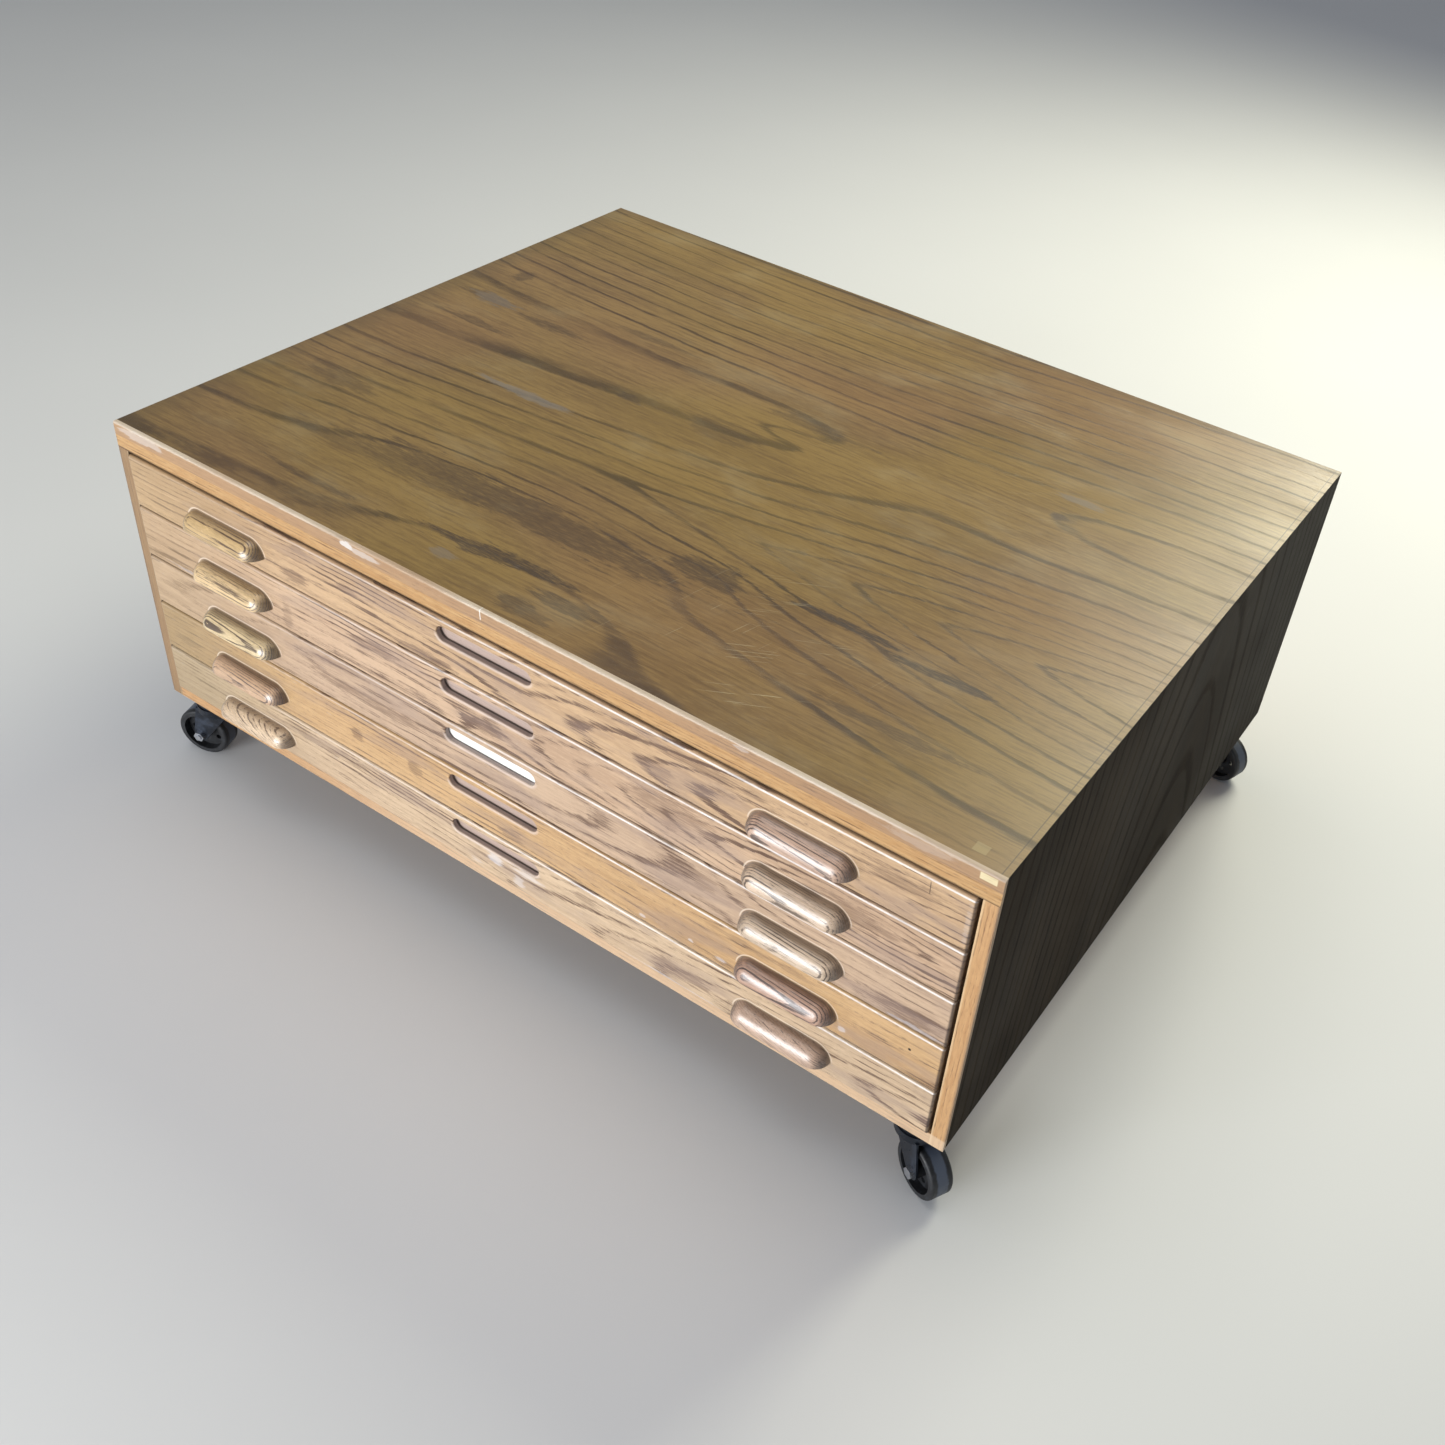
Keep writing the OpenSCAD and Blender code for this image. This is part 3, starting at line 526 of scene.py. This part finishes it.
FRONT_SMUDGES = {  # dark streaks and knots
    1: (
        (-0.345, -0.016, 0.026, 0.010, 0.8), (-0.120, -0.030, 0.060, 0.007, 0.8),
        (-0.330, 0.028, 0.020, 0.008, 0.5), (0.235, -0.014, 0.030, 0.012, 0.7),
        (0.300, 0.022, 0.090, 0.008, 0.7), (0.560, 0.012, 0.060, 0.012, 0.6),
        (-0.250, 0.006, 0.020, 0.008, 0.6),
    ),
    2: (
        (-0.210, 0.014, 0.050, 0.010, 0.8), (-0.020, -0.018, 0.032, 0.010, 0.85),
        (0.260, 0.010, 0.060, 0.026, 0.55), (0.500, 0.006, 0.070, 0.018, 0.6),
        (-0.370, -0.012, 0.010, 0.022, 0.5), (-0.190, -0.030, 0.110, 0.004, 0.5),
    ),
    3: (
        (-0.230, -0.004, 0.110, 0.011, 0.7), (0.290, 0.010, 0.045, 0.018, 0.55),
        (0.590, -0.020, 0.055, 0.013, 0.9), (-0.270, 0.030, 0.050, 0.007, 0.5),
        (0.160, 0.016, 0.014, 0.012, 0.5), (-0.610, 0.004, 0.030, 0.006, 0.5),
    ),
    4: (
        (-0.263, 0.000, 0.012, 0.012, 0.75), (-0.156, -0.002, 0.014, 0.014, 0.65),
        (0.010, -0.022, 0.020, 0.010, 0.6), (-0.600, -0.010, 0.030, 0.009, 0.5),
        (0.400, 0.024, 0.100, 0.006, 0.4),
    ),
    5: (
        (-0.330, 0.020, 0.110, 0.008, 0.5), (0.290, -0.012, 0.050, 0.014, 0.75),
        (0.130, 0.020, 0.024, 0.010, 0.6), (0.480, 0.002, 0.030, 0.014, 0.6),
    ),
}
FRONT_SPOTS = {  # pale worn places
    1: ((0.645, 0.000, 0.004, 0.030, 0.2),),
    2: ((-0.555, -0.032, 0.050, 0.003, 0.4),),
    3: ((0.610, -0.033, 0.040, 0.003, 0.5),),
    4: (
        (0.225, -0.028, 0.006, 0.003, 0.7), (0.300, -0.022, 0.005, 0.003, 0.7),
        (0.345, -0.026, 0.010, 0.003, 0.6), (0.520, -0.024, 0.006, 0.004, 0.6),
    ),
    5: (
        (-0.020, -0.006, 0.016, 0.010, 0.75), (0.034, -0.002, 0.022, 0.006, 0.65),
        (0.020, -0.022, 0.010, 0.012, 0.5), (0.280, -0.036, 0.080, 0.003, 0.5),
        (-0.055, -0.028, 0.012, 0.004, 0.4),
    ),
}
CHECK_X, CHECK_UP = (0.5975, 0.5985), (0.016, 0.033)  # a hairline check in the first front: from and to
NAIL_HOLE, NAIL_R = (0.609, 0.008, 0.0), 0.0019  # in the fourth front
WINDOW_X, WINDOW_DROP = -0.020, 0.022  # middle of a window, from the case's middle and the front's upper edge
WINDOW_HALF, WINDOW_R = 0.075, 0.011
PULL_HALF = 0.071


def front_oak(t, v, x, i):
    """The oak of front i: arches round a tip, and straight lines where they have run out."""
    tip, depth, taper, ring, seed, figure = FRONT_GRAIN[i]
    along, across = grain(t, v, seed, 0.016, 0.0052, 0.028)
    past = t.mul(taper, t.sub(along, tip[0]))
    below = t.sub(depth, t.most(past, -0.010))
    plain = t.mul(t.span(past, -0.003, -0.024), t.math("DIVIDE", across, 0.0125))
    turn = t.add(rings(t, t.sub(across, tip[1]), below, ring), plain)
    lively = t.noise(t.scaled(v, 4.5, 9.0, 9.0), detail=2.0)
    figure = t.mul(figure, t.span(lively, 0.36, 0.60, 0.75, 1.35), t.span(x, -0.5, -0.2, 0.62, 1.0))
    light, middle = FRONT_TINTS[i]
    return oak(t, v, turn, Seed=seed, Band=0.48, Figure=figure, Pores=0.75,
               Light=srgb(*light), Middle=srgb(*middle), Dark=srgb(100, 74, 58))


def front_stains(t, color, v, x, up, i):
    """Streaks, grey patches, the darker left part, worn spots and flecks; also returns the spots."""
    comb = t.noise(t.scaled(v, 26.0, 520.0, 520.0), detail=3.0, rough=0.65)
    blot = t.noise(t.scaled(v, 22.0, 150.0, 150.0), detail=4.0, rough=0.75)
    edge = t.add(t.mul(1.9, t.sub(blot, 0.5)), t.mul(1.3, t.sub(comb, 0.5)))
    smudge = t.mul(t.marks(x, up, edge, FRONT_SMUDGES[i]), t.span(comb, 0.36, 0.56, 0.25, 0.85))
    color = t.mix(smudge, color, srgb(104, 78, 62))
    cool = t.noise(t.scaled(v, 5.0, 26.0, 26.0), detail=3.0)
    color = t.mix(t.span(cool, 0.50, 0.66, 0.0, 0.38), color, srgb(140, 120, 112))
    # The fronts turn darker towards the left.
    darker_tone = t.mul(t.span(x, -0.30, -0.62), 0.30 if i < 4 else 0.55)
    color = t.mix(darker_tone, color, srgb(160, 136, 92) if i < 4 else srgb(134, 118, 86))
    spots = t.marks(x, up, edge, FRONT_SPOTS[i])
    color = t.mix(t.mul(0.7, spots), color, srgb(214, 210, 212))
    fleck = t.mul(t.span(t.cells(t.scaled(v, 1.0, 1.0, 0.0), scale=150.0), 0.05, 0.10, 1, 0),
                  t.span(t.noise(v, scale=46.0), 0.60, 0.66), t.span(up, -0.036, 0.0, 1.0, 0.25))
    return t.mix(t.mul(0.75, fleck), color, srgb(220, 216, 208)), spots


def front_damage(t, color, x, up, i):
    """The check in the first front and the nail hole in the fourth."""
    if i == 1:
        line = t.within(t.add(x, t.mul(0.04, up)), *CHECK_X, 0.0003)
        color = t.mix(t.mul(0.8, t.mul(line, t.within(up, *CHECK_UP, 0.002))), color, srgb(40, 28, 24))
    if i == 4:
        away = t.vec("LENGTH", t.vec("SUBTRACT", t.join(x, up, 0.0), NAIL_HOLE))
        color = t.mix(t.span(away, NAIL_R + 0.0005, NAIL_R - 0.0005), color, srgb(20, 14, 12))
    return color


def front_edges(t, color, x, z, low, high, level):
    """Rounded edges: a painted highlight along the upper one, painted shade along the lower one and at both
    ends.
    """
    # Painted highlight along the upper rounded edge, patchy and stronger towards the right.
    painted_edge_highlight = t.mul(t.within(z, high.z - 0.0036, high.z - 0.0016, 0.0007), t.span(x, -0.55, 0.25, 0.10, 0.75))
    color = t.mix(t.mul(painted_edge_highlight, t.span(level, 0.34, 0.56, 0.45, 1.0)), color, srgb(232, 226, 222))
    # Painted shade along the lower edge, in the gap between one front and the next.
    painted_gap_shade = t.span(z, low.z + 0.0022, low.z + 0.0006)
    color = t.mix(t.mul(0.75, painted_gap_shade), color, srgb(48, 34, 26))
    # Painted shade in the gaps beside the stiles, at both ends of the front.
    end = t.span(t.math("ABSOLUTE", x), high.x - 0.0036, high.x - 0.0015)
    return t.mix(t.mul(0.7, end), color, srgb(44, 30, 30))


def window_wear(t, color, place, low, high, level):
    """Label window: taupe walls with painted shade deep inside, and a painted highlight on the lower rim."""
    x, y, z = place
    window_x, window_z = t.sub(x, WINDOW_X), t.add(t.sub(z, high.z), WINDOW_DROP)
    reach = t.most(t.sub(t.math("ABSOLUTE", window_x), WINDOW_HALF - WINDOW_R), 0.0)
    outside = t.sub(t.vec("LENGTH", t.join(reach, window_z, 0.0)), WINDOW_R)
    near = t.span(outside, 0.003, 0.001)
    hole = t.mul(t.span(y, low.y + 0.0014, low.y + 0.0024), near)
    color = t.mix(t.mul(0.85, hole), color, srgb(152, 138, 134))
    # Painted shade deep inside the window, where the wall meets the board behind.
    painted_recess_shade = t.mul(t.span(y, high.y - 0.0040, high.y - 0.0026), near)
    color = t.mix(t.mul(0.8, painted_recess_shade), color, srgb(54, 44, 46))
    # Painted highlight on the window's lower rim.
    rim = t.mul(t.span(outside, 0.0052, 0.0016), t.span(outside, -0.0006, 0.0002), t.sub(1.0, hole))
    rim = t.mul(rim, t.span(window_z, 0.001, -0.007), t.span(level, 0.30, 0.55, 0.6, 1.0))
    return t.mix(t.mul(0.55, rim), color, srgb(216, 200, 190))


def pull_outline(t, color, x, z, level, i):
    """A pale worn outline over each pull, and painted shade close against it."""
    low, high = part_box(f"drawer_{i}_pulls")
    radius = high.z - low.z
    pull_x = (high.x - low.x) / 2 - PULL_HALF
    beside = t.math("ABSOLUTE", t.sub(t.math("ABSOLUTE", t.sub(x, (low.x + high.x) / 2)), pull_x))
    beside = t.most(t.sub(beside, PULL_HALF - radius), 0.0)
    over = t.most(t.sub(z, low.z), 0.0)
    away = t.sub(t.vec("LENGTH", t.join(beside, over, 0.0)), radius)
    above = t.span(z, low.z - 0.002, low.z + 0.008)
    pale = t.mul(above, t.within(away, 0.0013, 0.0030, 0.0006), t.span(level, 0.3, 0.55, 0.25, 0.7))
    color = t.mix(pale, color, srgb(226, 210, 190))
    # Painted shade: dark contact shadow close against the pull.
    return t.mix(t.mul(t.span(away, 0.0014, 0.0), above, 0.55), color, srgb(70, 50, 40))


def front_material(i):
    m, t = material(f"oak_front_{i}")
    x, y, z = t.split(t.coords())
    low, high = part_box(f"drawer_{i}_front")
    up = t.sub(z, (low.z + high.z) / 2)
    v = t.join(x, up, t.sub(y, low.y))
    color, height, early = front_oak(t, v, x, i)
    color, spots = front_stains(t, color, v, x, up, i)
    color = front_damage(t, color, x, up, i)
    level = t.noise(t.scaled(v, 9.0, 0.0, 0.0), detail=4.0, rough=0.6)
    color = front_edges(t, color, x, z, low, high, level)
    color = window_wear(t, color, (x, y, z), low, high, level)
    color = pull_outline(t, color, x, z, level, i)
    t.surface(color, t.add(0.34, t.mul(0.10, early), t.mul(0.15, spots)), height, distance=0.0002)
    return m


PULL_TINTS = {  # left and right pull of each drawer: light and dark tone
    1: ((196, 166, 118), (84, 60, 40), (190, 158, 136), (78, 58, 46)),
    2: ((216, 186, 140), (88, 66, 44), (212, 186, 160), (88, 70, 54)),
    3: ((220, 196, 152), (84, 64, 44), (212, 188, 162), (88, 70, 54)),
    4: ((196, 162, 130), (78, 56, 44), (190, 154, 132), (78, 56, 46)),
    5: ((228, 200, 166), (96, 74, 56), (194, 164, 142), (80, 60, 48)),
}


def pull_material(i):
    m, t = material(f"oak_pulls_{i}")
    x, y, z = t.split(t.coords())
    low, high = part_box(f"drawer_{i}_pulls")
    across_middle = (low.x + high.x) / 2
    right = t.span(x, across_middle - 0.01, across_middle + 0.01)
    left_light, left_dark, right_light, right_dark = (srgb(*c) for c in PULL_TINTS[i])
    light = t.mix(right, left_light, right_light)
    dark = t.mix(right, left_dark, right_dark)
    slant = -0.45 if i == 5 else 0.04 * (i - 3)
    up = t.sub(z, low.z)
    v = t.join(t.add(x, t.mul(slant, up)), t.add(up, t.mul(slant, x, -0.6)), t.sub(y, low.y))
    turn = sawn(t, v, 60.0 + i, 0.03, 0.05, 0.03, 0.0027, 0.006, 0.0016, 0.014)
    color, height, early = oak(
        t, v, turn, Seed=60.0 + i, Band=0.50, Figure=0.7 if i == 5 else 1.15, Pores=1.0,
        Light=light, Middle=t.mix(0.35, light, dark), Dark=dark)
    rise = t.math("DIVIDE", up, high.z - low.z)
    mottle = t.noise(t.scaled(v, 12.0, 30.0, 30.0), detail=4.0, rough=0.6)
    crown = t.span(t.add(rise, t.mul(0.3, t.sub(mottle, 0.5))), 0.72, 0.97)
    crown = t.mul(crown, t.span(y, low.y + 0.006, low.y + 0.02))
    color = t.mix(t.mul(crown, 0.6), color, dark)
    # Painted shade at both ends of each pull, together with their darker end grain.
    along = t.sub(t.math("ABSOLUTE", t.sub(x, across_middle)), (high.x - low.x) / 2 - PULL_HALF)
    end_grain_and_shade = t.span(t.math("ABSOLUTE", along), 0.055, 0.067)
    color = t.mix(t.mul(end_grain_and_shade, 0.7), color, srgb(44, 34, 34))
    seam = t.span(y, high.y - 0.0016, high.y - 0.0004)
    color = t.mix(t.mul(seam, 0.6), color, srgb(186, 166, 144))
    t.surface(color, t.add(0.22, t.mul(0.10, mottle), t.mul(0.08, early)), height, distance=0.00013,
              Specular_IOR_Level=0.6, Coat_Weight=0.8, Coat_Roughness=0.32)
    return m


# ---- The drawer boxes, the back and the rest ----
def plain_wood(name, light, dark, axes="xyz", seed=70.0, ring=0.008):
    """Unfinished wood, with the grain along the first of the three axes."""
    m, t = material(name)
    parts = dict(zip("xyz", t.split(t.coords())))
    v = t.join(*(parts[k] for k in axes))
    l, d = srgb(*light), srgb(*dark)
    mid = tuple(0.6 * p + 0.4 * q for p, q in zip(l, d))
    color, height, _ = oak(t, v, sawn(t, v, seed, 0.08, 0.12, 0.03, ring), Seed=seed,
                           Band=0.4, Figure=0.4, Pores=0.4, Light=l, Middle=mid, Dark=d)
    stain = t.noise(t.scaled(v, 3.0, 9.0, 9.0), detail=5.0, rough=0.65)
    color = t.mix(t.span(stain, 0.5, 0.7, 0.0, 0.35), color, tuple(0.7 * c for c in d))
    t.surface(color, 0.6, height, distance=0.0002)
    return m


def box_front_material(i):
    """The board behind a front: greyed where the label window bares it."""
    m, t = material(f"drawer_wood_behind_window_{i}")
    x, y, z = t.split(t.coords())
    v = t.join(x, z, y)
    seed = 90.0 + i
    color, height, _ = oak(
        t, v, sawn(t, v, seed, 0.08, 0.12, 0.03, 0.006), Seed=seed, Band=0.4, Figure=0.5, Pores=0.6,
        Light=srgb(196, 160, 116), Middle=srgb(174, 138, 98), Dark=srgb(120, 90, 62))
    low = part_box(f"drawer_{i}_box_front")[0]
    bare = t.span(y, low.y + 0.0012, low.y + 0.0004)
    color = t.mix(t.mul(bare, 0.8), color, srgb(176, 158, 152))
    t.surface(color, 0.55, height, distance=0.0002)
    return m


def tray_material():
    m, t = material("hardboard")
    p = t.coords()
    speck = t.noise(p, scale=420.0, detail=3.0)
    cloud = t.noise(p, scale=6.0, detail=4.0)
    color = t.mix(t.span(speck, 0.3, 0.7), srgb(134, 96, 64), srgb(108, 74, 50))
    color = t.mix(t.mul(0.35, t.span(cloud, 0.4, 0.65)), color, srgb(140, 100, 68))
    t.surface(color, t.add(0.42, t.mul(0.15, cloud)), speck, distance=0.00008)
    return m


def card_material():
    m, t = material("label_card")
    p = t.coords()
    dirt = t.noise(p, scale=60.0, detail=5.0, rough=0.7)
    specks = t.span(t.cells(p, scale=260.0), 0.10, 0.22, 1, 0)
    specks = t.mul(specks, t.span(t.noise(p, scale=90.0), 0.56, 0.62))
    color = t.mix(t.mul(0.3, t.span(dirt, 0.5, 0.7)), srgb(240, 238, 234), srgb(204, 194, 176))
    color = t.mix(t.mul(0.8, specks), color, srgb(70, 62, 58))
    t.surface(color, 0.62, t.noise(p, scale=900.0), distance=0.00004)
    return m


def paint_material():
    m, t = material("black_paint")
    p = t.coords()
    peel = t.noise(p, scale=700.0, detail=2.0)
    dust = t.noise(p, scale=38.0, detail=5.0, rough=0.65)
    color = t.mix(t.span(dust, 0.45, 0.75), srgb(26, 30, 38), srgb(62, 70, 84))
    t.surface(color, t.span(dust, 0.3, 0.7, 0.26, 0.5), peel, distance=0.00006, Metallic=0.45)
    return m


def zinc_material(name, tint, rough):
    m, t = material(name)
    p = t.coords()
    grain_of_plating = t.noise(p, scale=500.0, detail=3.0)
    cloud = t.noise(p, scale=90.0, detail=3.0)
    color = t.mix(t.span(cloud, 0.4, 0.65), srgb(*tint), tuple(0.75 * c for c in srgb(*tint)))
    rough = t.span(cloud, 0.3, 0.7, rough, rough + 0.15)
    t.surface(color, rough, grain_of_plating, distance=0.00005, Metallic=1.0)
    return m


def rubber_material(name):
    """Black rubber with a blue-grey worn band round the tread, placed by the wheel's middle and axis."""
    m, t = material(name)
    low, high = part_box(name)
    joint = next(j for j in frame["joints"] if j["child"] == name.replace("_wheel", "_roller"))
    p = t.coords()
    arm = t.vec("SUBTRACT", p, tuple(joint["pos_m"]))
    side = t.vec("DOT_PRODUCT", arm, tuple(Vector(joint["axis"]).normalized()))
    wheel_r = (high.z - low.z) / 2
    dust = t.noise(p, scale=120.0, detail=5.0, rough=0.7)
    rim = t.span(t.vec("LENGTH", arm), wheel_r - 0.0016, wheel_r - 0.0006)
    beside = t.add(t.math("ABSOLUTE", side), t.mul(0.006, t.sub(dust, 0.5)))
    band = t.mul(rim, t.span(beside, 0.006, 0.009, 1, 0))
    color = t.mix(t.span(dust, 0.45, 0.8), srgb(20, 21, 24), srgb(46, 49, 55))
    color = t.mix(t.mul(0.85, band), color, srgb(74, 82, 97))
    t.surface(color, t.span(dust, 0.3, 0.7, 0.42, 0.62), t.noise(p, scale=1500.0), distance=0.00008)
    return m


def dress(node, made):
    mesh = nodes[node].data
    mesh.materials.clear()
    mesh.materials.append(made)


sides = side_material()
box_along = plain_wood("drawer_wood_across", (196, 160, 116), (138, 104, 70), "xzy")
box_deep = plain_wood("drawer_wood_deep", (198, 164, 120), (140, 106, 72), "yzx", seed=74.0)
ply = plain_wood("plywood", (190, 150, 104), (128, 94, 62), "xyz", seed=78.0, ring=0.02)
back_ply = plain_wood("plywood_back", (184, 146, 102), (126, 92, 62), "xzy", seed=81.0, ring=0.02)
runner_wood = plain_wood("runner_wood", (206, 176, 132), (150, 116, 80), "yzx", seed=85.0, ring=0.006)
hardboard = tray_material()
paint = paint_material()
zinc = zinc_material("zinc", (205, 208, 214), 0.22)

dress("top_panel", top_material())
dress("left_side_panel", sides)
dress("right_side_panel", sides)
dress("bottom_panel", ply)
dress("back_panel", back_ply)
dress("top_front_rail", rail_material())
dress("front_edge_bands", band_material())
dress("drawer_runners", runner_wood)
dress("runner_screws", zinc_material("steel_screw", (150, 150, 152), 0.35))
dress("caster_plates", paint)
dress("caster_kingpins", zinc)
dress("caster_bolts", zinc)
dress("drawer_3_label_card", card_material())
for i in DRAWERS:
    dress(f"drawer_{i}_front", front_material(i))
    dress(f"drawer_{i}_pulls", pull_material(i))
    dress(f"drawer_{i}_box_front", box_front_material(i))
    dress(f"drawer_{i}_back", box_along)
    dress(f"drawer_{i}_left_side", box_deep)
    dress(f"drawer_{i}_right_side", box_deep)
    dress(f"drawer_{i}_bottom", hardboard)
for corner in ("front_left", "front_right", "rear_left", "rear_right"):
    dress(f"{corner}_caster_fork", paint)
    dress(f"{corner}_caster_axle", zinc)
    dress(f"{corner}_caster_wheel", rubber_material(f"{corner}_caster_wheel"))


# ---- Floor, light and camera ----
def floor():
    half = 30.0
    mesh = bpy.data.meshes.new("floor")
    corners = [(-half, -half, 0), (half, -half, 0), (half, half, 0), (-half, half, 0)]
    mesh.from_pydata(corners, [], [(0, 1, 2, 3)])
    ob = bpy.data.objects.new("floor", mesh)
    bpy.context.scene.collection.objects.link(ob)
    m, t = material("pale_floor")
    cloud = t.noise(t.coords(), scale=1.3, detail=3.0)
    t.surface(t.mix(cloud, (0.60, 0.605, 0.61), (0.64, 0.645, 0.65)), 0.62)
    mesh.materials.append(m)


def area_light(name, place, aim, size, power, color):
    """A soft lamp of size (width, height) in metres and power in watts, which the camera doesn't see."""
    data = bpy.data.lights.new(name, "AREA")
    data.shape = "RECTANGLE"
    data.size, data.size_y = size
    data.energy = power
    data.color = color
    ob = bpy.data.objects.new(name, data)
    bpy.context.scene.collection.objects.link(ob)
    ob.location = place
    ob.rotation_mode = "QUATERNION"
    ob.rotation_quaternion = (Vector(aim) - Vector(place)).to_track_quat("-Z", "Y")
    ob.visible_camera = False


def world():
    w = bpy.data.worlds.new("studio")
    bpy.context.scene.world = w
    w.use_nodes = True
    background = w.node_tree.nodes["Background"]
    background.inputs["Color"].default_value = (0.86, 0.91, 1.0, 1)
    background.inputs["Strength"].default_value = 0.30


CAMERA_PLACE = (1.02383, -1.53925, 1.64726)
CAMERA_TILT, CAMERA_ROLL, CAMERA_HEADING = 50.956, -5.480, 33.056  # degrees, from looking straight down
CAMERA_LENS, SENSOR_WIDTH = 37.99, 36.0  # millimetres
CAMERA_SHIFT = (-0.0811, -0.0187)  # parts of the frame width that put the cabinet where the photo has it


def camera():
    """Stands where the photographer stood: in front, to the right and well above the cabinet."""
    data = bpy.data.cameras.new("camera")
    ob = bpy.data.objects.new("camera", data)
    bpy.context.scene.collection.objects.link(ob)
    data.sensor_fit = "HORIZONTAL"
    data.sensor_width = SENSOR_WIDTH
    data.lens = CAMERA_LENS
    data.shift_x, data.shift_y = CAMERA_SHIFT
    data.clip_start, data.clip_end = 0.05, 200.0
    ob.location = CAMERA_PLACE
    ob.rotation_euler = [math.radians(a) for a in (CAMERA_TILT, CAMERA_ROLL, CAMERA_HEADING)]
    bpy.context.scene.camera = ob


floor()
world()
area_light("key", place=(-0.7, -4.2, 0.85), aim=(0, -0.4, 0.30), size=(2.6, 1.6), power=178,
           color=(0.96, 0.98, 1.0))
area_light("overhead", place=(-0.6, -0.4, 4.2), aim=(0, 0, 0.4), size=(3.0, 3.0), power=52,
           color=(1.0, 0.98, 0.95))
area_light("window", place=(0.75, 3.0, 2.8), aim=(0.35, 0.2, 0.55), size=(1.8, 2.9), power=150,
           color=(1.0, 0.98, 0.78))
camera()
bpy.context.scene.view_settings.view_transform = "Standard"

bpy.context.view_layer.update()
